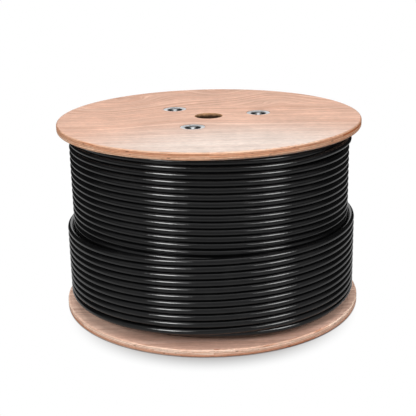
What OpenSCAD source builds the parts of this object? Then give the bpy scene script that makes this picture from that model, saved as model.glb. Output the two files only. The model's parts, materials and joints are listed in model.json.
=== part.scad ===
// Wooden cable drum standing on one flange, wound with black round cable.
// Two plywood flanges are clamped on a hidden paperboard barrel by three tie rods,
// whose nuts sit down in cup washers let into the flanges.
// Millimetres, +Z up along the arbor hole, origin in the middle of the face it stands on.

/* [Flanges] */
// Outside diameter of both flanges
flange_d = 480; // [440:1:600]
// Thickness of one flange
flange_t = 12; // [11:0.5:25]
// Rounding of the flanges' outer edges
edge_round = 3; // [1:0.5:5]
// Clear width between the flanges
traverse = 280; // [200:1:500]
// Diameter of the arbor hole through both flanges
arbor_d = 44; // [30:1:90]

/* [Barrel] */
// Outside diameter of the barrel tube
barrel_d = 246; // [220:1:320]
// Wall of the barrel tube
barrel_wall = 8; // [5:0.5:12]
// Depth of the groove in each flange that takes an end of the barrel
groove_depth = 4; // [2:0.5:6]
// Clearance round the barrel's ends in their grooves
groove_clear = 0.2; // [0.1:0.05:0.5]

/* [Cable winding] */
// Outside diameter of the cable
cable_d = 10.3; // [7:0.1:14]
// Turns in the unfinished outer layer
outer_turns = 12; // [4:1:16]
// Full layers that stop one turn short of the lower flange
short_layers = 2; // [1:1:4]
// Width of bare flange outside the winding
flange_margin = 7.7; // [4:0.1:30]
// Gap between the winding's ends and the flanges
end_gap = 0.2; // [0.1:0.05:0.5]
// Gap between the winding and the barrel
barrel_gap = 0.15; // [0.1:0.05:0.4]

/* [Tie rods] */
// Diameter of the circle that the tie rods stand on
rod_circle_d = 164; // [130:1:164]
// Angle of the first tie rod from +X
first_rod_angle = 12.7; // [0:0.1:119]
// Diameter of a tie rod
rod_d = 10; // [8:0.5:12]
// Chamfer on the ends of the rods
rod_chamfer = 1; // [0.5:0.1:2]
// Depth of the rods' ends below the flanges' outer faces
rod_sink = 1; // [0.5:0.1:1.5]
// Clearance round the rods in the washers
rod_clear = 0.4; // [0.2:0.1:0.8]

/* [Nuts] */
// Width across the flats of a nut
nut_flats = 16; // [15:0.5:18]
// Height of a nut
nut_h = 5; // [3:0.5:5.5]
// Width of the chamfer on a nut's corners
nut_chamfer = 1; // [0.5:0.1:1.5]
// Clearance between the nuts and the rods
thread_clear = 0.05; // [0.02:0.01:0.1]

/* [Cup washers] */
// Outside diameter of a washer's dished rim
cup_rim_d = 38; // [34:0.5:44]
// Drop of the dished rim towards the cup
cup_dish = 1; // [0.5:0.1:2]
// Inside diameter of the cup
cup_d = 24; // [23:0.5:28]
// Inside depth of the cup below the top of the rim
cup_depth = 12; // [9:0.1:16]
// Sheet thickness of a washer
cup_sheet = 1.2; // [0.8:0.1:1.5]
// Depth of a washer's rim below the flange's outer face
cup_sink = 0.2; // [0.1:0.05:0.5]
// Clearance round a washer in its hole
cup_clear = 0.2; // [0.1:0.05:0.5]
// Gap between a washer's rim and its seat
seat_gap = 0.1; // [0.05:0.05:0.2]

/* [Hidden] */

// Facets of a full turn, and of a small round section
$fn = 120;
section_fn = 32;
// Overrun of a cut past the face it opens
over = 1;

plywood = "#D9B49B";
paperboard = "#A98B66";
jacket = "#1C1C1D";
zinc = "#C3C7CB";

rod_count = 3;
overall_h = 2 * flange_t + traverse;
flange_r = flange_d / 2;
barrel_r = barrel_d / 2;

// Winding: turns fill the traverse and layers fill the depth between barrel and margin
cable_r = cable_d / 2;
least_turn_gap = 0.05;
turn_room = traverse - 2 * end_gap;
turns = floor((turn_room + least_turn_gap) / (cable_d + least_turn_gap));
turn_pitch = (turn_room - cable_d) / (turns - 1);
layer_room = flange_r - flange_margin - barrel_r - cable_d;
full_layers = floor(layer_room / cable_d) + 1;
layer_rise = layer_room / full_layers;
top_layer = full_layers - 1;
long_layer = top_layer - short_layers;

// Cup washer: heights are below the flange's outer face at z = 0
cup_r = cup_d / 2;
cup_rim_r = cup_rim_d / 2;
cup_mouth_z = -cup_sink - cup_dish;
cup_floor_z = -cup_sink - cup_depth;
cup_hole_r = rod_d / 2 + rod_clear;
cup_seat_drop = cup_sheet + seat_gap;

nut_corner_d = nut_flats / cos(30);
nut_bore_d = rod_d + 2 * thread_clear;
nut_chamfer_slope = 30;

// Height of the middle of turn i, counted from the lower flange
function turn_z(i) = flange_t + end_gap + cable_r + i * turn_pitch;

// Radius of the middle of layer k, counted from the barrel
function layer_r(k) = barrel_r + cable_r + k * layer_rise;

// Places the children at tie rod i
module at_rod(i) {
  rotate([0, 0, first_rod_angle + (i - 1) * 360 / rod_count])
    translate([rod_circle_d / 2, 0, 0]) children();
}

// Places children that are drawn under a face at z = 0 on the upper or the lower flange
module on_top() { translate([0, 0, overall_h]) children(); }
module on_bottom() { mirror([0, 0, 1]) children(); }

// Half section of a flange below its outer face at z = 0, with rounded rim
module flange_section() {
  arbor_r = arbor_d / 2;
  translate([arbor_r, -flange_t])
    square([flange_r - edge_round - arbor_r, flange_t]);
  translate([arbor_r, edge_round - flange_t])
    square([flange_r - arbor_r, flange_t - 2 * edge_round]);
  for (z = [-edge_round, edge_round - flange_t])
    translate([flange_r - edge_round, z]) circle(r = edge_round, $fn = section_fn);
}

// Groove that takes an end of the barrel, cut upwards from a flange's inner face
module barrel_groove() {
  translate([0, 0, -flange_t - over])
    difference() {
      cylinder(r = barrel_r + groove_clear, h = groove_depth + over);
      translate([0, 0, -over])
        cylinder(r = barrel_r - barrel_wall - groove_clear, h = groove_depth + 3 * over);
    }
}

// Hole for a cup washer, with a dished seat for its rim, cut through a flange below z = 0
module fitting_hole() {
  hole_r = cup_r + cup_sheet + cup_clear;
  rim_r = cup_rim_r + cup_clear;
  rotate_extrude()
    polygon([
      [0, over],
      [rim_r, over],
      [rim_r, -cup_sink - cup_seat_drop],
      [hole_r, cup_mouth_z - cup_seat_drop],
      [hole_r, -flange_t - over],
      [0, -flange_t - over]
    ]);
}

// Flange below its outer face at z = 0
module flange() {
  color(plywood)
    difference() {
      rotate_extrude() flange_section();
      barrel_groove();
      for (i = [1 : rod_count]) at_rod(i) fitting_hole();
    }
}

module bottom_flange() { on_bottom() flange(); }
module top_flange() { on_top() flange(); }

module barrel() {
  barrel_h = traverse + 2 * groove_depth;
  color(paperboard)
    translate([0, 0, flange_t - groove_depth])
      difference() {
        cylinder(r = barrel_r, h = barrel_h);
        translate([0, 0, -over])
          cylinder(r = barrel_r - barrel_wall, h = barrel_h + 2 * over);
      }
}

// One turn of the cable in the winding's half section
module turn(layer, i) {
  translate([layer_r(layer), turn_z(i)]) circle(r = cable_r, $fn = section_fn);
}

// Half section of the winding: a solid core edged with the turns that show on its
// outside and on both ends, with the outer layer stopped part of the way up
module winding_section() {
  last = turns - 1;
  bore_r = barrel_r + barrel_gap;
  intersection() {
    translate([bore_r, 0]) square([flange_r, overall_h]);
    union() {
      polygon([
        [barrel_r, turn_z(0)],
        [layer_r(long_layer), turn_z(0)],
        [layer_r(long_layer), turn_z(1)],
        [layer_r(full_layers), turn_z(1)],
        [layer_r(full_layers), turn_z(outer_turns)],
        [layer_r(top_layer), turn_z(outer_turns)],
        [layer_r(top_layer), turn_z(last)],
        [barrel_r, turn_z(last)]
      ]);
      for (k = [0 : long_layer]) turn(k, 0);
      for (k = [long_layer + 1 : top_layer]) turn(k, 1);
      for (i = [1 : outer_turns]) turn(full_layers, i);
      for (i = [outer_turns : last]) turn(top_layer, i);
      for (k = [0 : top_layer - 1]) turn(k, last);
    }
  }
}

module cable_winding() {
  color(jacket) rotate_extrude() winding_section();
}

module tie_rod(i) {
  rod_h = overall_h - 2 * rod_sink;
  rod_r = rod_d / 2;
  color(zinc)
    at_rod(i)
      translate([0, 0, rod_sink])
        rotate_extrude()
          polygon([
            [0, 0],
            [rod_r - rod_chamfer, 0],
            [rod_r, rod_chamfer],
            [rod_r, rod_h - rod_chamfer],
            [rod_r - rod_chamfer, rod_h],
            [0, rod_h]
          ]);
}

// Washer pressed into a dished rim and a deep cup, let in below an outer face at z = 0
module cup_washer() {
  color(zinc)
    rotate_extrude()
      polygon([
        [cup_hole_r, cup_floor_z],
        [cup_r, cup_floor_z],
        [cup_r, cup_mouth_z],
        [cup_rim_r, -cup_sink],
        [cup_rim_r, -cup_sink - cup_sheet],
        [cup_r + cup_sheet, cup_mouth_z - cup_sheet],
        [cup_r + cup_sheet, cup_floor_z - cup_sheet],
        [cup_hole_r, cup_floor_z - cup_sheet]
      ]);
}

// Hexagon nut on the floor of a cup washer, chamfered on its outer corners
module nut() {
  corner_r = nut_corner_d / 2;
  chamfer_r = corner_r - nut_chamfer;
  chamfer_h = (nut_chamfer + over) * tan(nut_chamfer_slope);
  color(zinc)
    translate([0, 0, cup_floor_z])
      difference() {
        intersection() {
          cylinder(d = nut_corner_d, h = nut_h, $fn = 6);
          rotate_extrude()
            polygon([
              [0, -over],
              [corner_r + over, -over],
              [corner_r + over, nut_h - chamfer_h],
              [chamfer_r, nut_h],
              [0, nut_h]
            ]);
        }
        translate([0, 0, -over])
          cylinder(d = nut_bore_d, h = nut_h + 2 * over);
      }
}

bottom_flange();
top_flange();
barrel();
cable_winding();
tie_rod(1);  // tie_rod_1
tie_rod(2);  // tie_rod_2
tie_rod(3);  // tie_rod_3
on_top() at_rod(1) cup_washer();  // cup_washer_top_1
on_top() at_rod(2) cup_washer();  // cup_washer_top_2
on_top() at_rod(3) cup_washer();  // cup_washer_top_3
on_bottom() at_rod(1) cup_washer();  // cup_washer_bottom_1
on_bottom() at_rod(2) cup_washer();  // cup_washer_bottom_2
on_bottom() at_rod(3) cup_washer();  // cup_washer_bottom_3
on_top() at_rod(1) nut();  // nut_top_1
on_top() at_rod(2) nut();  // nut_top_2
on_top() at_rod(3) nut();  // nut_top_3
on_bottom() at_rod(1) nut();  // nut_bottom_1
on_bottom() at_rod(2) nut();  // nut_bottom_2
on_bottom() at_rod(3) nut();  // nut_bottom_3
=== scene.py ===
"""Wooden cable drum standing on one flange, wound with black round cable.

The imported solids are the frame. The winding, the tie rods and the cup washers get finer
pieces of their own, and the flanges, the barrel and the nuts keep their solids and get
their real finishes. Sizes are in millimetres until they reach a mesh, which is in metres.
"""

import json
import logging
import math
from dataclasses import dataclass
from enum import Enum
from typing import Any, Sequence

import bpy
from mathutils import Matrix, Vector

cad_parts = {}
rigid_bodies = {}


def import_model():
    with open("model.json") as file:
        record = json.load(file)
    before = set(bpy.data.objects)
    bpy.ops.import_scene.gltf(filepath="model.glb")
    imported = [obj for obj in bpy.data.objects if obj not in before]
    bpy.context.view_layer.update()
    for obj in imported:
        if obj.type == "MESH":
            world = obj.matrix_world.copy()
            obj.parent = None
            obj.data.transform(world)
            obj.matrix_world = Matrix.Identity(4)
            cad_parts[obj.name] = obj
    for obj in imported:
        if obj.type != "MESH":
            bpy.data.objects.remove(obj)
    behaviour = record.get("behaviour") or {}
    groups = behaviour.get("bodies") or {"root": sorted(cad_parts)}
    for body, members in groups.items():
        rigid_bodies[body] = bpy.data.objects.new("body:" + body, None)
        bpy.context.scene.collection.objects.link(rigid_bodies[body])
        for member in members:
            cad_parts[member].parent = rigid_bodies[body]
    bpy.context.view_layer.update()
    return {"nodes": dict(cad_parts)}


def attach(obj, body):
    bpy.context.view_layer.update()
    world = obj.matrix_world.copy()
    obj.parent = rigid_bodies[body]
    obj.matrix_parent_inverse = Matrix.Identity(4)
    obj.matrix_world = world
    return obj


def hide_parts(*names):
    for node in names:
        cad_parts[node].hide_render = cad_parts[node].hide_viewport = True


LOG = logging.getLogger("cable_drum")
MM = 0.001
BODY = "root"

Point = tuple[float, float, float]
Section = list[tuple[float, float]]
Span = tuple[Any, Any]
Inputs = dict[int | str, Any]
Tree = bpy.types.NodeTree
Socket = bpy.types.NodeSocket

UNIT: Span = (0.0, 1.0)
MOST_NOISE: Span = (0.3, 0.7)  # where most values of a noise lie
WHITE = (1.0, 1.0, 1.0, 1.0)


class Slot(str, Enum):
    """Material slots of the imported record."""

    JACKET = "cable_jacket"
    ZINC = "zinc_steel"


class Face(Enum):
    """Side of the drum that a fitting is let into."""

    TOP = "top"
    BOTTOM = "bottom"


class Kind(str, Enum):
    """Shader nodes that the finishes are made of."""

    COORDS = "ShaderNodeTexCoord"
    GEOMETRY = "ShaderNodeNewGeometry"
    SEPARATE = "ShaderNodeSeparateXYZ"
    COMBINE = "ShaderNodeCombineXYZ"
    MATH = "ShaderNodeMath"
    VECTOR = "ShaderNodeVectorMath"
    MAPPING = "ShaderNodeMapping"
    NOISE = "ShaderNodeTexNoise"
    WHITE_NOISE = "ShaderNodeTexWhiteNoise"
    MIX = "ShaderNodeMix"
    RANGE = "ShaderNodeMapRange"
    CLAMP = "ShaderNodeClamp"
    BUMP = "ShaderNodeBump"
    SURFACE = "ShaderNodeBsdfPrincipled"
    DIFFUSE = "ShaderNodeBsdfDiffuse"
    EMISSION = "ShaderNodeEmission"
    BACKGROUND = "ShaderNodeBackground"
    LIGHT_PATH = "ShaderNodeLightPath"
    MIX_SHADER = "ShaderNodeMixShader"
    OUTPUT = "ShaderNodeOutputMaterial"
    WORLD_OUTPUT = "ShaderNodeOutputWorld"


def srgb(code: str) -> tuple[float, float, float, float]:
    """Turns an sRGB hex colour into linear RGBA.

    Args:
        code: Colour such as "#c8a27a".

    Returns:
        Linear red, green and blue, and an alpha of 1.
    """
    parts = [int(code[i : i + 2], 16) / 255 for i in (1, 3, 5)]
    red, green, blue = [p / 12.92 if p <= 0.04045 else ((p + 0.055) / 1.055) ** 2.4 for p in parts]
    return red, green, blue, 1.0


def add_node(
    tree: Tree,
    kind: Kind,
    settings: dict[str, Any] | None = None,
    inputs: Inputs | None = None,
) -> bpy.types.Node:
    """Adds a node with its settings and links.

    Args:
        tree: Node tree that the node goes into.
        kind: Node to add.
        settings: The node's own settings by name.
        inputs: Sockets by name or index, each with a value or a socket to link from.

    Returns:
        The new node.
    """
    node = tree.nodes.new(kind.value)
    for name, value in (settings or {}).items():
        setattr(node, name, value)
    for key, value in (inputs or {}).items():
        if isinstance(value, bpy.types.NodeSocket):
            tree.links.new(value, node.inputs[key])
        else:
            node.inputs[key].default_value = value
    return node


def new_material(name: str) -> bpy.types.Material:
    """Returns a new material with an empty node tree."""
    material = bpy.data.materials.new(name)
    material.use_nodes = True
    material.node_tree.nodes.clear()
    return material


def ease(value: float) -> float:
    """Returns a smooth step from 0 to 1 as value goes from 0 to 1."""
    t = min(1.0, max(0.0, value))
    return t * t * (3 - 2 * t)


def between(knots: Sequence[tuple[float, ...]], where: float, column: int) -> float:
    """Reads a column of a short table of places, in straight lines between its rows.

    Args:
        knots: Rows that start with a place, in rising order.
        where: Place to read at.
        column: Column to read.

    Returns:
        The column's value there, held before the first and after the last row.
    """
    if where <= knots[0][0]:
        return knots[0][column]
    for low, high in zip(knots, knots[1:]):
        if where <= high[0]:
            share = (where - low[0]) / (high[0] - low[0])
            return low[column] + (high[column] - low[column]) * share
    return knots[-1][column]


def calc(tree: Tree, operation: str, *values: Any, clamp: bool = False) -> Socket:
    """Works out a sum of numbers and sockets.

    Args:
        tree: Node tree that the sum goes into.
        operation: Blender's name of the sum.
        values: What it works on, in order.
        clamp: Whether the result is held between 0 and 1.

    Returns:
        The result.
    """
    settings = {"operation": operation, "use_clamp": clamp}
    return add_node(tree, Kind.MATH, settings, dict(enumerate(values))).outputs[0]


def calc_vector(tree: Tree, operation: str, *values: Any, scale: Any = 1.0) -> Socket:
    """Works out a sum of vectors.

    Args:
        tree: Node tree that the sum goes into.
        operation: Blender's name of the sum.
        values: Vectors that it works on, in order.
        scale: Number that a scaling multiplies by.

    Returns:
        The resulting vector, or number where it is a distance or a length.
    """
    inputs: Inputs = dict(enumerate(values))
    if operation == "SCALE":
        inputs["Scale"] = scale
    node = add_node(tree, Kind.VECTOR, {"operation": operation}, inputs)
    return node.outputs["Value" if operation in ("DISTANCE", "LENGTH") else "Vector"]


def remap(
    tree: Tree, value: Any, source: Span = UNIT, target: Span = UNIT, smooth: bool = False
) -> Socket:
    """Moves a number from one span to another and holds it at the ends.

    Args:
        tree: Node tree that the node goes into.
        value: Number to move.
        source: Span that it comes from.
        target: Span that it goes to.
        smooth: Whether it eases in and out.

    Returns:
        The moved number.
    """
    settings = {"interpolation_type": "SMOOTHSTEP" if smooth else "LINEAR"}
    inputs = dict(enumerate((value, *source, *target)))
    return add_node(tree, Kind.RANGE, settings, inputs).outputs[0]


def blend(tree: Tree, share: Any, first: Any, second: Any) -> Socket:
    """Mixes two colours.

    Args:
        tree: Node tree that the node goes into.
        share: Share of the second colour.
        first: Socket or sRGB hex code.
        second: Socket or sRGB hex code.

    Returns:
        The mixed colour.
    """
    ends = [srgb(end) if isinstance(end, str) else end for end in (first, second)]
    inputs = {0: share, 6: ends[0], 7: ends[1]}
    return add_node(tree, Kind.MIX, {"data_type": "RGBA"}, inputs).outputs[2]


def weigh(tree: Tree, share: Any, first: Any, second: Any) -> Socket:
    """Returns a mix of two numbers, with a share of the second."""
    inputs = {0: share, 2: first, 3: second}
    return add_node(tree, Kind.MIX, {"data_type": "FLOAT"}, inputs).outputs[0]


def combine(tree: Tree, *axes: Any) -> Socket:
    """Returns a vector of the given axes."""
    return add_node(tree, Kind.COMBINE, inputs=dict(enumerate(axes))).outputs[0]


def noise(
    tree: Tree, where: Socket, size: float, detail: float, roughness: float = 0.5, flat: bool = False
) -> Socket:
    """Makes cloudy noise.

    Args:
        tree: Node tree that the node goes into.
        where: Place to read it at.
        size: Width of its clouds, in the unit of where.
        detail: Number of finer layers in it.
        roughness: Strength of the finer layers.
        flat: Whether it has two axes in place of three.

    Returns:
        The noise, about a half on the whole.
    """
    settings = {"noise_dimensions": "2D" if flat else "3D"}
    inputs: Inputs = {
        "Vector": where,
        "Scale": 1 / size,
        "Detail": detail,
        "Roughness": roughness,
    }
    return add_node(tree, Kind.NOISE, settings, inputs).outputs[0]


def emboss(tree: Tree, height: Socket, strength: float, rise: float) -> Socket:
    """Returns a normal bumped by a height; rise is in millimetres."""
    inputs: Inputs = {"Strength": strength, "Distance": rise * MM, "Height": height}
    return add_node(tree, Kind.BUMP, inputs=inputs).outputs[0]


def close(tree: Tree, inputs: Inputs) -> None:
    """Ends a finish with its surface and the material's output."""
    surface = add_node(tree, Kind.SURFACE, inputs=inputs)
    add_node(tree, Kind.OUTPUT, inputs={0: surface.outputs[0]})


@dataclass(frozen=True)
class PlyFrame:
    """Where a point lies in a plywood flange, as sockets.

    The depth is counted in plies from the outer face. Crossed is 1 where the grain runs
    along Y, inner is 1 off the two face plies, and sawn is 1 on the edges. The grain frame
    has its first axis along the fibres, and across is its second.
    """

    tree: Tree
    place: Socket
    axes: Sequence[Socket]
    facing: Sequence[Socket]
    depth: Socket
    ply: Socket
    crossed: Socket
    inner: Socket
    sawn: Socket
    grain: Socket
    across: Socket
    flat: Socket
    turn: Socket


@dataclass(frozen=True)
class Plywood:
    """Veneer plywood, sawn round and sanded, left bare.

    To the eye: pale pink face veneer with soft wavy growth bands along X, crossed plies
    on the edges that show long fibres or darker end grain, strips of core veneer butted
    end to end with small dark gaps, thin glue lines, and a scorched wall in the arbor hole
    with painted shade that blackens it further in.
    Sizes are in millimetres. Each figure is an arch of the bands, by x, y, reach and rise.
    Tones run from 0, pale core veneer, to 1, red, and drift across the flange along X.
    """

    name: str
    face_z: float
    inward: float
    thickness: float = 12.0
    plies: int = 5
    ply_tones: tuple[float, ...] = (0.3, 0.56, 0.46, 0.15, 0.12)
    tone_drift: float = 0.25
    drift_reach: float = 150.0
    strip_tones: Span = (-0.3, 0.35)
    seed: float = 0.0
    ply_shift: Point = (0.37, 0.0, 0.53)
    flange_r: float = 240.0
    arbor_r: float = 22.0
    figures: tuple[tuple[float, float, float, float], ...] = ()
    band_width: float = 15.0
    band_waves: Point = (3.0, 5.0, 3.0)
    band_swing: Span = (0.04, 0.11)
    late_wood: Span = (0.14, 0.46)
    fibre: Span = (200.0, 4.0)
    pore: Span = (10.0, 4.0)
    cloud: float = 45.0
    strip: float = 150.0
    stagger: float = 3.37
    streak: float = 45.0
    gap_length: float = 15.0
    front_patch_squeeze: Point = (0.7, 1.0, 0.0)
    front_patch_at: Point = (0.035, -0.25, 0.0)
    front_patch_reach: Span = (0.07, 0.25)
    roughness: Span = (0.62, 0.78)
    # Front patch and far tone: partly veneer, partly painted light and shade
    front_veneer_and_lighting: str = "#eddcd1"
    far_veneer_and_lighting: str = "#efc6b0"
    band: str = "#bb7d61"
    core_pale: str = "#f2cbae"
    core_red: str = "#b5622f"
    end_grain: str = "#a86c44"
    glue: str = "#7c4a2e"
    gap: str = "#2e1c12"
    scorch: str = "#cc9e76"
    # Painted shade deep in the arbor hole
    hole_shade: str = "#3c2a1d"

    def lay_plies(self, tree: Tree) -> PlyFrame:
        """Returns where a point lies in the plies, whose grain runs along X and Y by turns."""
        place = add_node(tree, Kind.COORDS).outputs["Object"]
        axes = add_node(tree, Kind.SEPARATE, inputs={0: place}).outputs
        normal = add_node(tree, Kind.GEOMETRY).outputs["Normal"]
        facing = add_node(tree, Kind.SEPARATE, inputs={0: normal}).outputs
        per_metre = self.inward * self.plies / (self.thickness * MM)
        depth = calc(tree, "MULTIPLY_ADD", axes[2], per_metre, -per_metre * self.face_z * MM)
        inside = add_node(tree, Kind.CLAMP, inputs={0: depth, 1: 0.01, 2: self.plies - 0.01}).outputs[0]
        ply = calc(tree, "FLOOR", inside)
        crossed = calc(tree, "PINGPONG", ply, 1.0)
        middle = (self.plies - 1) / 2
        from_middle = calc(tree, "ABSOLUTE", calc(tree, "SUBTRACT", ply, middle))
        turned = combine(tree, axes[1], axes[0], axes[2])
        by_turns = {0: crossed, 4: place, 5: turned}
        fibre_frame = add_node(tree, Kind.MIX, {"data_type": "VECTOR"}, by_turns).outputs[1]
        shift = calc_vector(tree, "SCALE", self.ply_shift, scale=ply)
        shifted = calc_vector(tree, "ADD", fibre_frame, shift)
        return PlyFrame(
            tree,
            place,
            axes,
            facing,
            depth,
            ply,
            crossed,
            inner=remap(tree, from_middle, (middle - 0.6, middle - 0.4), (1.0, 0.0)),
            sawn=remap(tree, calc(tree, "ABSOLUTE", facing[2]), (0.98, 0.8)),
            grain=calc_vector(tree, "ADD", shifted, (self.seed, self.seed, self.seed)),
            across=add_node(tree, Kind.SEPARATE, inputs={0: fibre_frame}).outputs[1],
            flat=combine(tree, axes[0], axes[1]),
            turn=calc(tree, "ARCTAN2", axes[0], axes[1]),
        )

    def grow_bands(self, at: PlyFrame) -> Socket:
        """Returns the growth bands, bent by waves 330 mm long and raised into arches."""
        tree = at.tree
        risen = at.across
        for x, y, reach, rise in self.figures:
            away = calc_vector(tree, "DISTANCE", at.flat, (x * MM, y * MM, 0.0))
            arch = remap(tree, away, (0.0, reach * MM), (rise * MM, 0.0), smooth=True)
            risen = calc(tree, "ADD", risen, arch)
        waves = add_node(tree, Kind.MAPPING, inputs={0: at.grain, 3: self.band_waves}).outputs[0]
        wave = noise(tree, waves, 1.0, 3.0, 0.45)
        swing = remap(tree, at.across, (-0.1, 0.1), self.band_swing, smooth=True)
        bent = calc(tree, "MULTIPLY_ADD", wave, swing, risen)
        bands_at = calc(tree, "MULTIPLY_ADD", bent, 1 / (self.band_width * MM), self.seed)
        inputs: Inputs = {"W": bands_at, "Scale": 1.0, "Detail": 2.0, "Roughness": 0.6}
        return add_node(tree, Kind.NOISE, {"noise_dimensions": "1D"}, inputs).outputs[0]

    def draw_out(self, at: PlyFrame, size: Span, detail: float, roughness: float) -> Socket:
        """Returns noise drawn out along the fibres; size is its length and its width."""
        length, width = (1 / (side * MM) for side in size)
        stretched = {0: at.grain, 3: (length, width, width)}
        where = add_node(at.tree, Kind.MAPPING, inputs=stretched).outputs[0]
        return noise(at.tree, where, 1.0, detail, roughness)

    def round_edge(self, at: PlyFrame, length: float) -> Socket:
        """Returns how many lengths a point lies along the edge."""
        return calc(at.tree, "MULTIPLY_ADD", at.turn, self.flange_r / length, self.seed)

    def edge_noise(self, at: PlyFrame, length: float, rows: float, detail: float) -> Socket:
        """Returns noise drawn out round the edge, with so many rows to a ply."""
        row = calc(at.tree, "MULTIPLY", at.depth, rows)
        where = combine(at.tree, self.round_edge(at, length), row)
        return noise(at.tree, where, 1.0, detail, flat=True)

    def core_colour(self, at: PlyFrame) -> Socket:
        """Returns the colour of the core veneer: a tone for each ply, in strips butted end to end."""
        tree = at.tree
        tone: Any = 0.0
        for index, share in enumerate(self.ply_tones):
            here = calc(tree, "COMPARE", at.ply, index, 0.1)
            tone = calc(tree, "MULTIPLY_ADD", here, share, tone)
        along = calc(tree, "MULTIPLY_ADD", at.ply, self.stagger, self.round_edge(at, self.strip))
        strip = combine(tree, calc(tree, "FLOOR", along), at.ply)
        strip_tone = add_node(tree, Kind.WHITE_NOISE, {"noise_dimensions": "2D"}, {0: strip}).outputs[0]
        off_tone = remap(tree, strip_tone, target=self.strip_tones)
        reach = self.drift_reach * MM
        drifts = (1 - self.tone_drift, 1 + self.tone_drift)
        drift = remap(tree, at.axes[0], (-reach, reach), drifts)
        toned = calc(tree, "MULTIPLY_ADD", tone, drift, off_tone)
        # Reddish streaks along the edge, two rows to a ply
        streaks = remap(tree, self.edge_noise(at, self.streak, 2.0, 3.0), (0.52, 0.72), (0.0, 0.9))
        return blend(
            tree, calc(tree, "MAXIMUM", toned, streaks, clamp=True), self.core_pale, self.core_red
        )

    def timber_colour(self, at: PlyFrame) -> Socket:
        """Returns the colour of face and core veneer with their growth bands and end grain."""
        tree = at.tree
        # Face veneer: a long patch at the -Y side in one tone, another tone round it, partly sapwood
        # and heartwood
        # and partly painted light and shade: paler in front on the upper flange, darker in front and
        # paler at the sides on the lower one
        squeezed = calc_vector(tree, "MULTIPLY", at.place, self.front_patch_squeeze)
        from_front_patch = calc_vector(tree, "DISTANCE", squeezed, self.front_patch_at)
        far_share = remap(tree, from_front_patch, self.front_patch_reach, smooth=True)
        veneer = blend(tree, far_share, self.front_veneer_and_lighting, self.far_veneer_and_lighting)
        core_share = calc(tree, "MAXIMUM", at.sawn, at.inner)
        timber = blend(tree, core_share, veneer, self.core_colour(at))
        # Late wood darkens each band and ends it in a line, drawn 3 mm wide to show
        bands = self.grow_bands(at)
        # Bands are fainter on the front patch, partly the veneer's own look and partly painted light
        late = remap(tree, far_share, target=self.late_wood)
        band_share = remap(tree, bands, (0.44, 0.72), (0.0, late), smooth=True)
        off_line = calc(tree, "ABSOLUTE", calc(tree, "SUBTRACT", bands, 0.5))
        lined = calc(tree, "MAXIMUM", band_share, remap(tree, off_line, (0.0, 0.05), (late, 0.0)))
        on_veneer = remap(tree, core_share, target=(1.0, 0.2))
        banded = blend(tree, calc(tree, "MULTIPLY", lined, on_veneer), timber, self.band)
        # End grain shows where a ply's fibres run into the surface
        end_on = calc(tree, "ABSOLUTE", weigh(tree, at.crossed, at.facing[0], at.facing[1]))
        end_share = remap(tree, end_on, (0.25, 0.95), (0.0, 0.3), smooth=True)
        return blend(tree, end_share, banded, self.end_grain)

    def join_plies(self, at: PlyFrame, timber: Socket) -> Socket:
        """Returns the timber with glue lines 0.5 mm wide, and gaps where strips don't meet."""
        tree = at.tree
        in_ply = calc(tree, "PINGPONG", at.depth, 0.5)
        glue_share = remap(tree, in_ply, (0.06, 0.16), (0.5, 0.0))
        glued = blend(tree, calc(tree, "MULTIPLY", glue_share, at.sawn), timber, self.glue)
        gap_share = remap(tree, self.edge_noise(at, self.gap_length, 1.0, 1.0), (0.75, 0.79))
        gap_inner = calc(tree, "MULTIPLY", gap_share, at.inner)
        return blend(tree, calc(tree, "MULTIPLY", gap_inner, at.sawn), glued, self.gap)

    def scorch_and_shade_hole(self, at: PlyFrame, timber: Socket, pores: Socket) -> Socket:
        """Returns the timber with the arbor hole's wall scorched by its saw, and with painted shade
        that blackens it further in.
        """
        tree = at.tree
        reach = calc_vector(tree, "LENGTH", at.flat)
        wall_r = ((self.arbor_r + 0.2) * MM, (self.arbor_r + 0.6) * MM)
        in_hole = remap(tree, reach, wall_r, (1.0, 0.0))
        # Painted shade: the wall goes from scorch to black further into the hole
        deeper_shade = remap(tree, calc(tree, "MULTIPLY_ADD", pores, 3.0, at.depth), (1.6, 3.6))
        return blend(tree, in_hole, timber, blend(tree, deeper_shade, self.scorch, self.hole_shade))

    def build(self) -> bpy.types.Material:
        """Returns the material for one flange."""
        material = new_material(self.name)
        tree = material.node_tree
        at = self.lay_plies(tree)
        # Fibres and pores are drawn 4 mm wide to show
        fibres = self.draw_out(at, self.fibre, 4.0, 0.6)
        pores = self.draw_out(at, self.pore, 3.0, 0.7)
        cloud = noise(tree, at.grain, self.cloud * MM, 3.0)
        timber = self.scorch_and_shade_hole(at, self.join_plies(at, self.timber_colour(at)), pores)
        # Fibres, pores and cloudiness lighten and darken the colour by about a tenth each
        shade = remap(tree, fibres, MOST_NOISE, (0.87, 1.08))
        pitted = remap(tree, pores, MOST_NOISE, (0.87, 1.09))
        smudge = remap(tree, cloud, MOST_NOISE, (0.9, 1.08))
        tone = calc(tree, "MULTIPLY", calc(tree, "MULTIPLY", shade, pitted), smudge)
        close(
            tree,
            {
                "Base Color": calc_vector(tree, "SCALE", timber, scale=tone),
                "Roughness": remap(tree, cloud, MOST_NOISE, self.roughness),
                "Normal": emboss(tree, fibres, 0.35, 0.2),
                "IOR": 1.5,
                "Specular IOR Level": 0.12,
            },
        )
        return material


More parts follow.
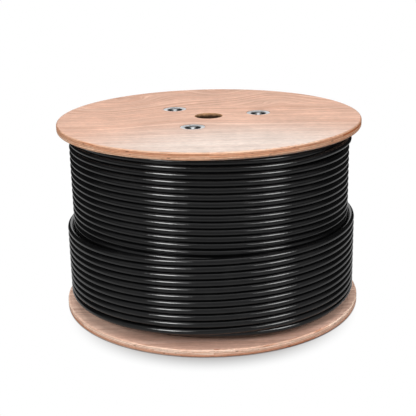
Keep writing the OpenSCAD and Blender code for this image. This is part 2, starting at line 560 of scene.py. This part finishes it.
@dataclass(frozen=True)
class PolyethyleneJacket:
    """Black polyethylene cable jacket, extruded; sizes are in millimetres.

    To the eye: glossy black that mirrors a lamp as a short bright bar, with frayed ends
    because the extruded skin is faintly rippled.
    """

    name: str = "black_polyethylene_jacket"
    colour: str = "#0b0b0c"
    scuffed: str = "#141414"
    ripple: float = 4.0
    patch: float = 30.0
    roughness: Span = (0.08, 0.12)

    def build(self) -> bpy.types.Material:
        """Returns the material, with dust and scuffs in patches."""
        material = new_material(self.name)
        tree = material.node_tree
        place = add_node(tree, Kind.COORDS).outputs["Object"]
        ripples = noise(tree, place, self.ripple * MM, 2.0)
        patches = noise(tree, place, self.patch * MM, 4.0)
        scuff = remap(tree, patches, (0.5, 0.8))
        close(
            tree,
            {
                "Base Color": blend(tree, scuff, self.colour, self.scuffed),
                "Roughness": remap(tree, patches, MOST_NOISE, self.roughness),
                "Normal": emboss(tree, ripples, 0.8, 0.15),
                "IOR": 1.5,
                "Specular IOR Level": 0.5,
            },
        )
        return material


@dataclass(frozen=True)
class ZincSteel:
    """Steel, pressed or turned, electroplated with zinc; sizes are in millimetres.

    To the eye: light blue-grey metal with a soft sheen, cloudy from the plating bath
    and a little dull where it has been handled. Where cup shade is painted, painted shade
    blackens what lies down in the cups, between the two unshaded heights, and takes its metal away.
    """

    name: str = "zinc_plated_steel"
    bright: str = "#eef1f3"
    dull: str = "#ced1d3"
    cup_shade: str = "#17181a"
    cloud: float = 5.0
    grit: float = 0.8
    roughness: Span = (0.28, 0.46)
    unshaded_below: float = 1.3
    unshaded_above: float = 302.7
    shade_fade: float = 0.6
    shade_cups: bool = True

    def build(self) -> bpy.types.Material:
        """Returns the material."""
        material = new_material(self.name)
        tree = material.node_tree
        place = add_node(tree, Kind.COORDS).outputs["Object"]
        clouds = noise(tree, place, self.cloud * MM, 4.0)
        grit = noise(tree, place, self.grit * MM, 2.0)
        colour = blend(tree, remap(tree, clouds, (0.35, 0.7)), self.bright, self.dull)
        metal: Any = 1.0
        if self.shade_cups:
            # Painted shade: between the two unshaded heights, down in the cups, the zinc turns black
            # and loses its metal
            height = add_node(tree, Kind.SEPARATE, inputs={0: place}).outputs[2]
            middle = (self.unshaded_below + self.unshaded_above) / 2 * MM
            unshaded = (self.unshaded_above - self.unshaded_below) / 2 * MM
            off_middle = calc(tree, "ABSOLUTE", calc(tree, "SUBTRACT", height, middle))
            down = remap(tree, off_middle, (unshaded - self.shade_fade * MM, unshaded), (1.0, 0.0))
            colour = blend(tree, down, colour, self.cup_shade)
            metal = remap(tree, down, target=(1.0, 0.0))
        close(
            tree,
            {
                "Base Color": colour,
                "Metallic": metal,
                "Roughness": remap(tree, clouds, MOST_NOISE, self.roughness),
                "Normal": emboss(tree, grit, 0.2, 0.05),
            },
        )
        return material


@dataclass(frozen=True)
class Paperboard:
    """Spiral-wound brown paperboard tube; sizes are in millimetres.

    To the eye: matt brown with slanting seams of the wound strip and fine flecks.
    """

    name: str = "spiral_wound_paperboard"
    paper: str = "#a98662"
    fleck: str = "#86674a"
    strip: float = 90.0
    seam: float = 1.2
    fleck_size: float = 2.5

    def build(self) -> bpy.types.Material:
        """Returns the material."""
        material = new_material(self.name)
        tree = material.node_tree
        place = add_node(tree, Kind.COORDS).outputs["Object"]
        axes = add_node(tree, Kind.SEPARATE, inputs={0: place}).outputs
        turn = calc(tree, "ARCTAN2", axes[1], axes[0])
        per_turn = 2 * self.strip * MM / (2 * math.pi)
        climb = calc(tree, "MULTIPLY_ADD", turn, per_turn, axes[2])
        from_seam = calc(tree, "PINGPONG", climb, self.strip * MM / 2)
        seam_share = remap(tree, from_seam, (0.0, self.seam * MM), (0.7, 0.0))
        flecks = noise(tree, place, self.fleck_size * MM, 3.0)
        fleck_share = remap(tree, flecks, (0.45, 0.75), (0.0, 0.6))
        share = calc(tree, "MAXIMUM", seam_share, fleck_share)
        close(
            tree,
            {
                "Base Color": blend(tree, share, self.paper, self.fleck),
                "Roughness": 0.9,
                "Normal": emboss(tree, flecks, 0.3, 0.2),
                "Specular IOR Level": 0.2,
            },
        )
        return material


def dress(piece: bpy.types.Object, material: bpy.types.Material) -> None:
    """Gives a piece one material in place of all that it has."""
    piece.data.materials.clear()
    piece.data.materials.append(material)


def deselect() -> None:
    """Leaves object mode with nothing selected."""
    if bpy.context.object and bpy.context.object.mode != "OBJECT":
        bpy.ops.object.mode_set(mode="OBJECT")
    bpy.ops.object.select_all(action="DESELECT")


def smooth(piece: bpy.types.Object, degrees: float) -> None:
    """Shades a piece smooth, except over edges sharper than an angle."""
    deselect()
    piece.select_set(True)
    bpy.context.view_layer.objects.active = piece
    bpy.ops.object.shade_smooth_by_angle(angle=math.radians(degrees))


def lathe(name: str, section: Section, steps: int) -> bpy.types.Object:
    """Turns a closed half section about the Z axis, as on a lathe.

    Args:
        name: Name of the new piece.
        section: Radius and height of each corner in millimetres, without repeating the first.
        steps: Faces round the full turn.

    Returns:
        The turned piece, with its normals outwards.
    """
    deselect()
    first = section[0]
    bpy.ops.mesh.primitive_plane_add(size=MM, location=(0, 0, 0))
    piece = bpy.context.object
    piece.name = piece.data.name = name
    bpy.ops.object.mode_set(mode="EDIT")
    bpy.ops.mesh.select_mode(type="VERT")
    bpy.ops.mesh.select_all(action="SELECT")
    bpy.ops.mesh.merge(type="CENTER")
    bpy.ops.transform.translate(value=(first[0] * MM, 0, first[1] * MM))
    for here, there in zip(section, section[1:] + [first]):
        step = ((there[0] - here[0]) * MM, 0, (there[1] - here[1]) * MM)
        bpy.ops.mesh.extrude_vertices_move(TRANSFORM_OT_translate={"value": step})
    bpy.ops.mesh.select_all(action="SELECT")
    bpy.ops.mesh.remove_doubles(threshold=0.001 * MM)
    bpy.ops.mesh.select_all(action="SELECT")
    bpy.ops.mesh.spin(steps=steps, angle=2 * math.pi, center=(0, 0, 0), axis=(0, 0, 1))
    bpy.ops.mesh.select_all(action="SELECT")
    bpy.ops.mesh.remove_doubles(threshold=0.001 * MM)
    bpy.ops.mesh.normals_make_consistent(inside=False)
    bpy.ops.object.mode_set(mode="OBJECT")
    return piece


def lay_cable(
    name: str, path: Sequence[Point], radius: float, rings: int, ends: Sequence[float] = ()
) -> bpy.types.Object:
    """Draws a round cable along a path and makes it a mesh.

    Args:
        name: Name of the new piece.
        path: Points along the middle of the cable, in millimetres.
        radius: Radius of the cable in millimetres.
        rings: Blender's bevel resolution; the section has 4 more than twice this many sides.
        ends: Shares of the radius at the last points, for a closed end.

    Returns:
        The cable as a smooth mesh.
    """
    deselect()
    curve = bpy.data.curves.new(name, "CURVE")
    curve.dimensions = "3D"
    curve.twist_mode = "Z_UP"
    curve.bevel_depth = radius * MM
    curve.bevel_resolution = rings
    curve.use_fill_caps = True
    line = curve.splines.new("POLY")
    line.points.add(len(path) - 1)
    for point, spot in zip(line.points, path):
        point.co = (spot[0] * MM, spot[1] * MM, spot[2] * MM, 1.0)
    for index, share in enumerate(ends):
        line.points[index - len(ends)].radius = share
    piece = bpy.data.objects.new(name, curve)
    bpy.context.scene.collection.objects.link(piece)
    piece.select_set(True)
    bpy.context.view_layer.objects.active = piece
    bpy.ops.object.convert(target="MESH")
    piece = bpy.context.object
    piece.data.name = name
    smooth(piece, 50)
    return piece


def copy_piece(piece: bpy.types.Object, name: str, move: Matrix) -> bpy.types.Object:
    """Copies a piece with its own mesh and places the copy in its mesh.

    Args:
        piece: Piece to copy.
        name: Name of the copy.
        move: Where the copy goes.

    Returns:
        The copy, with its object at the origin.
    """
    twin = piece.copy()
    twin.data = piece.data.copy()
    twin.name = twin.data.name = name
    twin.data.transform(move)
    bpy.context.scene.collection.objects.link(twin)
    return twin


def settle(
    piece: bpy.types.Object, nodes: Sequence[str], material: bpy.types.Material
) -> None:
    """Puts a finished piece on the frame.

    Args:
        piece: Finished piece.
        nodes: Names of the solids that it stands for.
        material: Its finish.
    """
    dress(piece, material)
    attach(piece, BODY)
    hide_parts(*nodes)
    LOG.info("%s: %d faces, stands for %s", piece.name, len(piece.data.polygons), ", ".join(nodes))


@dataclass
class CableWinding:
    """Black cable on the drum, in millimetres and degrees.

    Plain inner layers show only at the ends. Over them lie two full layers and a part layer
    outside. A turn runs nearly level and goes on to the next over one stretch, the upper
    layer by drops and the outer one by climbs. At one side the top turns crowd together,
    and the free end is closed with a dome, by reach and share of the radius.
    """

    jacket: bpy.types.Material
    cable_r: float = 5.1
    bore_r: float = 123.15
    first_layer_r: float = 128.15
    layer_rise: float = 9.9
    inner_layers: int = 8
    lowest_z: float = 17.35
    highest_z: float = 286.65
    under_r: float = 207.35
    under_turns: int = 25
    upper_r: float = 217.25
    upper_z: float = 284.6
    upper_pitch: float = 10.23
    upper_turns: int = 25
    outer_r: float = 227.45
    outer_z: float = 36.6
    outer_pitch: float = 10.62
    outer_end: float = 75.0
    outer_turns: int = 10
    end_arc: Span = (-164.0, -16.0)
    arc_steps: int = 6
    even_share: float = 0.1
    drop_from: float = -125.0
    drop_over: float = 128.0
    drop_shift: float = 0.22
    climb_from: float = -195.0
    climb_over: float = 120.0
    climb_shift: float = 0.9125
    upper_from: float = -330.0
    outer_from: float = 275.0
    rise_over: float = 60.0
    top_squeeze: float = 0.5
    crowd_angles: tuple[float, float, float, float] = (293.0, 333.0, 345.0, 400.0)
    crowd_up: float = 4.8
    crowd_out: float = 3.4
    dome: tuple[tuple[float, float], ...] = ((1.0, 0.98), (2.7, 0.85), (4.4, 0.5), (5.1, 0.05))
    steps: int = 132
    node: str = "cable_winding"

    def turns_gone(self, angle: float, start: float, over: float) -> float:
        """Returns the turns laid since an angle, most of each turn's rise over one stretch.

        Args:
            angle: Angle in degrees.
            start: Angle where the first turn starts to rise.
            over: Length of the stretch in degrees.

        Returns:
            The turns, with a part turn as a share.
        """
        turns, rest = divmod((angle - start) / 360, 1.0)
        return turns + self.even_share * rest + (1 - self.even_share) * ease(rest * 360 / over)

    def drop(self, angle: float) -> float:
        """Returns the turns that the upper layer has gone down at an angle in degrees, 0 at -85."""
        return self.turns_gone(angle, self.drop_from, self.drop_over) - self.drop_shift

    def climb(self, angle: float) -> float:
        """Returns the turns that the outer layer has gone up at an angle in degrees, 0 at -85."""
        return self.turns_gone(angle, self.climb_from, self.climb_over) - self.climb_shift

    def spot(self, angle: float, radius: float, height: float) -> Point:
        """Returns a point from an angle in degrees, a radius and a height."""
        turn = math.radians(angle)
        return radius * math.cos(turn), radius * math.sin(turn), height

    def angles(self, first: float, last: float) -> list[float]:
        """Returns evenly stepped angles in degrees from first to last."""
        count = max(2, round((last - first) / 360 * self.steps))
        return [first + (last - first) * i / count for i in range(count + 1)]

    def under_path(self) -> list[Point]:
        """Returns the path of the full layer under the two that show."""
        last = self.upper_from
        rise = (self.highest_z - self.lowest_z) / (self.under_turns + 1)
        return [
            self.spot(a, self.under_r, self.highest_z + rise * (a - last) / 360)
            for a in self.angles(last - 360 * self.under_turns, last)
        ]

    def crowd(self, angle: float) -> float:
        """Returns how far the second turn from the top is pushed up and out, from 0 to 1."""
        rise, top, fall, end = self.crowd_angles
        return ease((angle - rise) / (top - rise)) * ease((end - angle) / (end - fall))

    def upper_spot(self, angle: float) -> Point:
        """Returns a point of the upper layer, whose top turns are pushed together at one side."""
        risen = ease((angle - self.upper_from) / self.rise_over)
        radius = self.under_r + (self.upper_r - self.under_r) * risen
        height = self.upper_z - self.upper_pitch * self.drop(angle)
        if height > self.upper_z:
            height -= (height - self.upper_z) * self.top_squeeze
        height += self.crowd_up * self.crowd(angle)
        radius += self.crowd_out * (self.crowd(angle) - self.crowd(angle + 360))
        return self.spot(angle, radius, height)

    def outer_path(self) -> list[Point]:
        """Returns the path that goes from the upper layer's last turn up the outer layer."""
        turn = 360 * self.upper_turns
        start = (
            (self.drop_from, self.upper_r, 29.2),
            (-105.0, 217.6, 28.9),
            (-95.0, 218.5, 28.4),
            (-85.0, 219.6, 27.9),
            (-75.0, 221.5, 26.9),
            (-65.0, 223.6, 25.9),
            (-55.0, 225.2, 25.7),
            (-45.0, 226.4, 26.7),
            (-35.0, 227.2, 28.1),
            (-25.0, self.outer_r, 28.8),
            (195.0, self.outer_r, 29.0),
            (215.0, self.outer_r, 30.2),
            (235.0, self.outer_r, 31.8),
            (255.0, self.outer_r, 34.0),
            (self.outer_from, self.outer_r, self.outer_z),
        )
        path = []
        last = self.outer_end + 360 * (self.outer_turns + 1)
        for a in self.angles(self.drop_from + 360 / self.steps, last):
            if a < self.outer_from:
                radius, height = between(start, a, 1), between(start, a, 2)
            else:
                radius, height = self.outer_r, self.outer_z + self.outer_pitch * self.climb(a - 360)
            path.append(self.spot(a + turn, radius, height))
        return path

    def core_section(self) -> Section:
        """Returns the half section of the inner layers, with their turns showing on both ends."""
        low, high = self.end_arc
        shares = [i / self.arc_steps for i in range(self.arc_steps + 1)]
        angles = [math.radians(low + (high - low) * share) for share in shares]
        arc = [(self.cable_r * math.cos(a), self.cable_r * math.sin(a)) for a in angles]
        rows = [self.first_layer_r + k * self.layer_rise for k in range(self.inner_layers)]
        section = [(self.bore_r, self.lowest_z)]
        for row in rows:
            section += [(row + out, self.lowest_z + up) for out, up in arc]
        for row in reversed(rows):
            section += [(row + out, self.highest_z - up) for out, up in reversed(arc)]
        section.append((self.bore_r, self.highest_z))
        return section

    def build(self) -> None:
        """Lays the layers of the winding."""
        core = lathe("cable_inner_layers", self.core_section(), self.steps)
        smooth(core, 40)
        under = lay_cable("cable_under_layer", self.under_path(), self.cable_r, rings=3)
        last = 360 * self.upper_turns + self.drop_from
        path = [self.upper_spot(a) for a in self.angles(self.upper_from, last)]
        path += self.outer_path()
        end = Vector(path[-1])
        along = (end - Vector(path[-2])).normalized()
        path += [tuple(end + along * reach) for reach, _ in self.dome]
        shares = [share for _, share in self.dome]
        outside = lay_cable("cable_outer_layers", path, self.cable_r, rings=5, ends=shares)
        for piece in (core, under, outside):
            settle(piece, [self.node], self.jacket)


@dataclass
class Fittings:
    """Three tie rods with a nut down in a cup washer at each end, in millimetres."""

    zinc: bpy.types.Material
    cup_shaded: bpy.types.Material
    overall_h: float = 304.0
    circle_r: float = 82.0
    first_angle: float = 12.7
    count: int = 3
    rod_r: float = 5.0
    root_r: float = 4.35
    rod_sink: float = 1.0
    thread: float = 22.0
    thread_pitch: float = 1.5
    thread_steps: int = 24
    lead_in: float = 0.9
    run_out: float = 0.8
    rod_chamfer: float = 0.6
    rod_sides: int = 32
    washer_sides: int = 64
    rim_r: float = 19.0
    cup_r: float = 12.0
    hole_r: float = 5.4
    dish: float = 1.0
    cup_depth: float = 12.0
    sheet: float = 1.2
    sink: float = 0.2

    def place(self, index: int) -> Matrix:
        """Returns where tie rod number index stands."""
        turn = math.radians(self.first_angle + 360 / self.count * (index - 1))
        reach = self.circle_r * MM
        return Matrix.Translation((reach * math.cos(turn), reach * math.sin(turn), 0))

    def washer_section(self, face: Face) -> Section:
        """Returns the half section of a cup washer, its sheet bent round at the rim and the floor."""
        mouth = -self.sink - self.dish
        floor = -self.sink - self.cup_depth
        t = self.sheet
        # Corners from the hole up to the rim, then back underneath
        upper = [
            (self.hole_r, floor),
            (self.cup_r - 1.2, floor),
            (self.cup_r - 0.35, floor + 0.35),
            (self.cup_r, floor + 1.2),
            (self.cup_r, mouth - 0.9),
            (self.cup_r + 0.25, mouth - 0.25),
            (self.cup_r + 0.9, mouth + 0.1),
            (self.rim_r - 0.7, -self.sink - 0.1),
            (self.rim_r - 0.2, -self.sink - 0.2),
            (self.rim_r, -self.sink - 0.6),
        ]
        lower = [
            (self.rim_r - 0.2, -self.sink - t),
            (self.cup_r + t + 1.0, mouth - t + 0.1),
            (self.cup_r + t, mouth - t - 0.6),
            (self.cup_r + t, floor),
            (self.cup_r + t - 0.6, floor - t + 0.4),
            (self.cup_r - 0.6, floor - t),
            (self.hole_r, floor - t),
        ]
        if face is Face.TOP:
            return [(r, self.overall_h + z) for r, z in upper + lower]
        return [(r, -z) for r, z in upper + lower]

    def rod_section(self) -> Section:
        """Returns the half section of a tie rod, turned down to the root of its threads."""
        half = [
            (0.0, 0.0),
            (self.root_r - self.rod_chamfer, 0.0),
            (self.root_r, self.rod_chamfer),
            (self.root_r, self.thread),
            (self.rod_r, self.thread + self.run_out),
        ]
        low, high = self.rod_sink, self.overall_h - self.rod_sink
        return [(r, low + z) for r, z in half] + [(r, high - z) for r, z in reversed(half)]

    def thread_path(self, face: Face) -> list[Point]:
        """Returns the crest of a right-hand thread at one end of a rod."""
        low = self.rod_sink + self.lead_in
        if face is Face.TOP:
            low = self.overall_h - self.rod_sink - self.thread
        turns = (self.thread - self.lead_in) / self.thread_pitch
        path = []
        for i in range(round(turns * self.thread_steps) + 1):
            angle = 2 * math.pi * i / self.thread_steps
            height = low + self.thread_pitch * i / self.thread_steps
            path.append((self.root_r * math.cos(angle), self.root_r * math.sin(angle), height))
        return path

    def build_rods(self) -> None:
        """Turns the tie rods and cuts their threads."""
        blank = lathe("tie_rod_blank", self.rod_section(), self.rod_sides)
        crest = self.rod_r - self.root_r
        threads = [
            lay_cable(f"thread_{face.value}", self.thread_path(face), crest, rings=0)
            for face in Face
        ]
        deselect()
        for piece in (*threads, blank):
            piece.select_set(True)
        bpy.context.view_layer.objects.active = blank
        bpy.ops.object.join()
        smooth(blank, 40)
        for index in range(1, self.count + 1):
            rod = copy_piece(blank, f"threaded_rod_{index}", self.place(index))
            settle(rod, [f"tie_rod_{index}"], self.zinc)
        bpy.data.objects.remove(blank)

    def build_washers(self) -> None:
        """Presses the cup washers of both faces."""
        for face in Face:
            side = face.value
            blank = lathe(f"washer_{side}", self.washer_section(face), self.washer_sides)
            smooth(blank, 50)
            for index in range(1, self.count + 1):
                washer = copy_piece(blank, f"pressed_washer_{side}_{index}", self.place(index))
                # The washers' cups take painted shade, black below their rims
                settle(washer, [f"cup_washer_{side}_{index}"], self.cup_shaded)
            bpy.data.objects.remove(blank)

    def dress_nuts(self, nodes: dict[str, bpy.types.Object]) -> None:
        """Finishes the nuts, which keep their solids."""
        for face in Face:
            for index in range(1, self.count + 1):
                name = f"nut_{face.value}_{index}"
                # The nuts sit down in the cups, so painted shade makes them black
                dress(nodes[name], self.cup_shaded)
                LOG.info("%s: solid kept", name)

    def build(self, nodes: dict[str, bpy.types.Object]) -> None:
        """Makes the rods and washers and finishes the nuts."""
        self.build_rods()
        self.build_washers()
        self.dress_nuts(nodes)


@dataclass
class DrumBody:
    """Plywood flanges and paperboard barrel, which keep their solids."""

    overall_h: float = 304.0

    def build(self, nodes: dict[str, bpy.types.Object]) -> None:
        """Gives the flanges and the barrel their finishes."""
        finishes = {
            "top_flange": Plywood(
                "veneer_plywood_upper",
                self.overall_h,
                -1.0,
                seed=3.1,
                figures=(
                    (-165, 70, 190, 120),
                    (-70, 30, 170, -45),
                    (110, 150, 130, -90),
                    (30, 190, 90, 50),
                ),
            ),
            # The lower flange is a lit copy of the plywood: paler sides, core veneer and end grain as
            # painted light, and a darker front patch as painted shade
            "bottom_flange": Plywood(
                "veneer_plywood_lower_painted_light",
                0.0,
                1.0,
                seed=11.7,
                figures=((60, -40, 200, 60),),
                front_veneer_and_lighting="#dab19e",
                far_veneer_and_lighting="#fdd7c2",
                band="#b27d66",
                late_wood=(0.4, 0.46),
                core_pale="#fde0cb",
                core_red="#bd6733",
                end_grain="#f8d9c2",
                ply_tones=(0.75, 1.0, 0.35, 0.0, 0.05),
                tone_drift=0.0,
            ),
            "barrel": Paperboard(),
        }
        for name, finish in finishes.items():
            dress(nodes[name], finish.build())
            LOG.info("%s: solid kept, %s", name, finish.name)


@dataclass
class SoftBox:
    """Studio lamp with a soft rectangular front; places and sizes are in metres.

    The level is what white paper that faces the lamp at its aim would show. A lamp that
    isn't mirrored lights the wood and leaves no bar on the cable or the metal.
    """

    name: str
    at: Point
    aim: Point
    width: float
    height: float
    level: float
    mirrored: bool = True

    def build(self) -> None:
        """Hangs the lamp."""
        beam = Vector(self.aim) - Vector(self.at)
        lamp = bpy.data.lights.new(self.name, "AREA")
        lamp.shape = "RECTANGLE"
        lamp.size, lamp.size_y = self.width, self.height
        lamp.energy = self.level * math.pi**2 * beam.length_squared
        holder = bpy.data.objects.new(self.name, lamp)
        holder.location = self.at
        holder.rotation_mode = "QUATERNION"
        holder.rotation_quaternion = beam.to_track_quat("-Z", "Y")
        holder.visible_glossy = self.mirrored
        bpy.context.scene.collection.objects.link(holder)


@dataclass
class Studio:
    """White room with a pale floor, a backdrop, soft boxes and the camera, in metres and degrees.

    The pool is the shadow on the floor, from its dark middle to its edge. The contact span
    is where the floor meets the lower flange's edge, and the mirrored reach is how far the
    floor is pale where the drum mirrors it.
    """

    camera_at: Point = (0.0, -1.422645, 0.599185)
    yaw: float = -0.1684
    pitch: float = 17.5093
    roll: float = -1.2763
    lens: float = 78.734
    sensor: float = 36.0
    clip_end: float = 200.0
    ambient: float = 0.19
    side_walls: float = 0.02
    front_wall: float = 0.39
    wall_turn: Span = (0.4, -0.3)
    backdrop_r: float = 8.0
    backdrop_h: float = 6.8
    backdrop_from: float = 0.95
    floor_r: float = 30.0
    floor_colour: str = "#9a9a9a"
    floor_mirrored: str = "#2e2e2e"
    floor_level: float = 0.45
    pool_at: Point = (0.0, -0.05, 0.0)
    pool_r: Span = (0.165, 0.237)
    contact_r: Span = (0.2385, 0.2405)
    mirrored_r: Span = (0.8, 1.3)
    middle: Point = (0.0, 0.0, 0.17)

    def build_camera(self) -> None:
        """Stands the camera at the photograph's viewing angle."""
        yaw, pitch, roll = (math.radians(a) for a in (self.yaw, self.pitch, self.roll))
        ahead = Vector(
            (math.sin(yaw) * math.cos(pitch), math.cos(yaw) * math.cos(pitch), -math.sin(pitch))
        )
        right = Vector((math.cos(yaw), -math.sin(yaw), 0.0))
        above = right.cross(ahead)
        across = right * math.cos(roll) + above * math.sin(roll)
        upward = above * math.cos(roll) - right * math.sin(roll)
        turn = Matrix((across, upward, -ahead)).transposed().to_4x4()
        data = bpy.data.cameras.new("camera")
        data.lens = self.lens
        data.sensor_width = self.sensor
        data.sensor_fit = "HORIZONTAL"
        data.clip_end = self.clip_end
        camera = bpy.data.objects.new("camera", data)
        camera.matrix_world = Matrix.Translation(self.camera_at) @ turn
        bpy.context.scene.collection.objects.link(camera)
        bpy.context.scene.camera = camera

    def mirrored_rays(self, tree: Tree, path: Any) -> Socket:
        """Returns a socket that is 1 for what is seen in metal or gloss, or through glass."""
        return calc(tree, "MAXIMUM", path["Is Glossy Ray"], path["Is Transmission Ray"])

    def build_world(self) -> None:
        """Lights the room evenly and dimly.

        What the camera sees of it is white. Mirrored, it has a pale wall in front and dark
        walls at the sides and behind.
        """
        world = bpy.data.worlds.new("studio_room")
        world.use_nodes = True
        tree = world.node_tree
        tree.nodes.clear()
        path = add_node(tree, Kind.LIGHT_PATH).outputs
        way = add_node(tree, Kind.COORDS).outputs["Generated"]
        ahead = add_node(tree, Kind.SEPARATE, inputs={0: way}).outputs[1]
        wall = remap(tree, ahead, self.wall_turn, (self.side_walls, self.front_wall), smooth=True)
        dim = weigh(tree, self.mirrored_rays(tree, path), self.ambient, wall)
        strength = weigh(tree, path["Is Camera Ray"], dim, 1.0)
        room = add_node(tree, Kind.BACKGROUND, inputs={0: WHITE, 1: strength}).outputs[0]
        add_node(tree, Kind.WORLD_OUTPUT, inputs={0: room})
        bpy.context.scene.world = world

    def build_backdrop(self) -> None:
        """Hangs a white curved backdrop behind the drum, which lights no more than the room does."""
        deselect()
        bpy.ops.mesh.primitive_cylinder_add(
            vertices=96, radius=self.backdrop_r, depth=self.backdrop_h, end_fill_type="NOTHING"
        )
        wall = bpy.context.object
        wall.name = "backdrop"
        bpy.ops.object.mode_set(mode="EDIT")
        bpy.ops.mesh.select_all(action="SELECT")
        bpy.ops.transform.translate(value=(0, 0, self.backdrop_h / 2))
        cut_at = (0, self.backdrop_r * self.backdrop_from, 0)
        bpy.ops.mesh.bisect(plane_co=cut_at, plane_no=(0, 1, 0), clear_inner=True)
        bpy.ops.object.mode_set(mode="OBJECT")
        material = new_material("white_backdrop")
        tree = material.node_tree
        path = add_node(tree, Kind.LIGHT_PATH).outputs
        seen = calc(tree, "MAXIMUM", path["Is Camera Ray"], self.mirrored_rays(tree, path))
        dim = add_node(tree, Kind.EMISSION, inputs={0: WHITE, 1: self.ambient}).outputs[0]
        white = add_node(tree, Kind.EMISSION, inputs={0: WHITE, 1: 1.0}).outputs[0]
        mixed = add_node(tree, Kind.MIX_SHADER, inputs={0: seen, 1: dim, 2: white}).outputs[0]
        add_node(tree, Kind.OUTPUT, inputs={0: mixed})
        dress(wall, material)

    def build_floor(self) -> None:
        """Lays a pale floor that keeps the shadow round the drum and goes white further out."""
        deselect()
        bpy.ops.mesh.primitive_circle_add(vertices=64, radius=self.floor_r, fill_type="NGON")
        floor = bpy.context.object
        floor.name = "floor"
        material = new_material("pale_floor")
        tree = material.node_tree
        place = add_node(tree, Kind.COORDS).outputs["Object"]
        path = add_node(tree, Kind.LIGHT_PATH).outputs
        mirrored = self.mirrored_rays(tree, path)
        # The shadow falls towards the camera, and under the lower flange's rounded edge
        pool = calc_vector(tree, "DISTANCE", place, self.pool_at)
        out_of_pool = remap(tree, pool, self.pool_r, smooth=True)
        reach = calc_vector(tree, "LENGTH", place)
        far = calc(tree, "MULTIPLY", out_of_pool, remap(tree, reach, self.contact_r))
        white_far = calc(tree, "MULTIPLY", far, path["Is Camera Ray"])
        # Mirrored in the drum, the floor round it is pale, and dark further out
        near = remap(tree, reach, self.mirrored_r, (self.floor_level, 0.0))
        share = calc(tree, "MULTIPLY_ADD", mirrored, near, white_far)
        colour = blend(tree, mirrored, self.floor_colour, self.floor_mirrored)
        lit = add_node(tree, Kind.DIFFUSE, inputs={0: colour}).outputs[0]
        white = add_node(tree, Kind.EMISSION, inputs={0: WHITE, 1: 1.0}).outputs[0]
        mixed = add_node(tree, Kind.MIX_SHADER, inputs={0: share, 1: lit, 2: white}).outputs[0]
        add_node(tree, Kind.OUTPUT, inputs={0: mixed})
        dress(floor, material)

    def build_lamps(self) -> None:
        """Hangs two soft boxes in front, a wide dim diffuser behind each, and lamps above and behind.

        Half of the light above and the two boxes behind aren't mirrored.
        """
        aim = self.middle
        for box in (
            SoftBox("soft_box_left", (-1.257, -1.73, 1.16), aim, 0.6, 1.0, 0.36),
            SoftBox("diffuser_left", (-1.27, -1.86, 1.21), aim, 1.3, 1.0, 0.25),
            SoftBox("soft_box_right", (1.685, -1.317, 1.16), aim, 0.6, 1.0, 0.22),
            SoftBox("diffuser_right", (1.68, -1.49, 1.21), aim, 1.4, 1.0, 0.2),
            SoftBox("soft_box_overhead", (0.0, -0.35, 1.72), aim, 1.4, 1.4, 0.19),
            SoftBox("diffuser_overhead", (0.0, -0.37, 1.8), aim, 1.4, 1.4, 0.145, mirrored=False),
            SoftBox("soft_box_back_left", (-1.0, 1.43, 1.9), aim, 1.0, 1.0, 0.15, mirrored=False),
            SoftBox("soft_box_back_right", (1.0, 1.43, 1.9), aim, 1.0, 1.0, 0.15, mirrored=False),
        ):
            box.build()

    def build(self) -> None:
        """Makes the room, its lamps and the camera."""
        self.build_camera()
        self.build_world()
        self.build_backdrop()
        self.build_floor()
        self.build_lamps()
        bpy.context.scene.view_settings.view_transform = "Standard"


def main() -> None:
    """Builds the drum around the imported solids, then the studio."""
    logging.basicConfig(level=logging.INFO, format="%(name)s %(message)s")
    for thing in list(bpy.data.objects):
        bpy.data.objects.remove(thing)
    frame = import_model()
    nodes = frame["nodes"]
    DrumBody().build(nodes)
    CableWinding(PolyethyleneJacket().build()).build()
    # The plain zinc has no painted shade; the other is painted black as shade down in the cups
    unshaded = ZincSteel(shade_cups=False).build()
    cup_shaded = ZincSteel("zinc_plated_steel_cup_shade").build()
    Fittings(unshaded, cup_shaded).build(nodes)
    Studio().build()


if __name__ == "__main__":
    main()
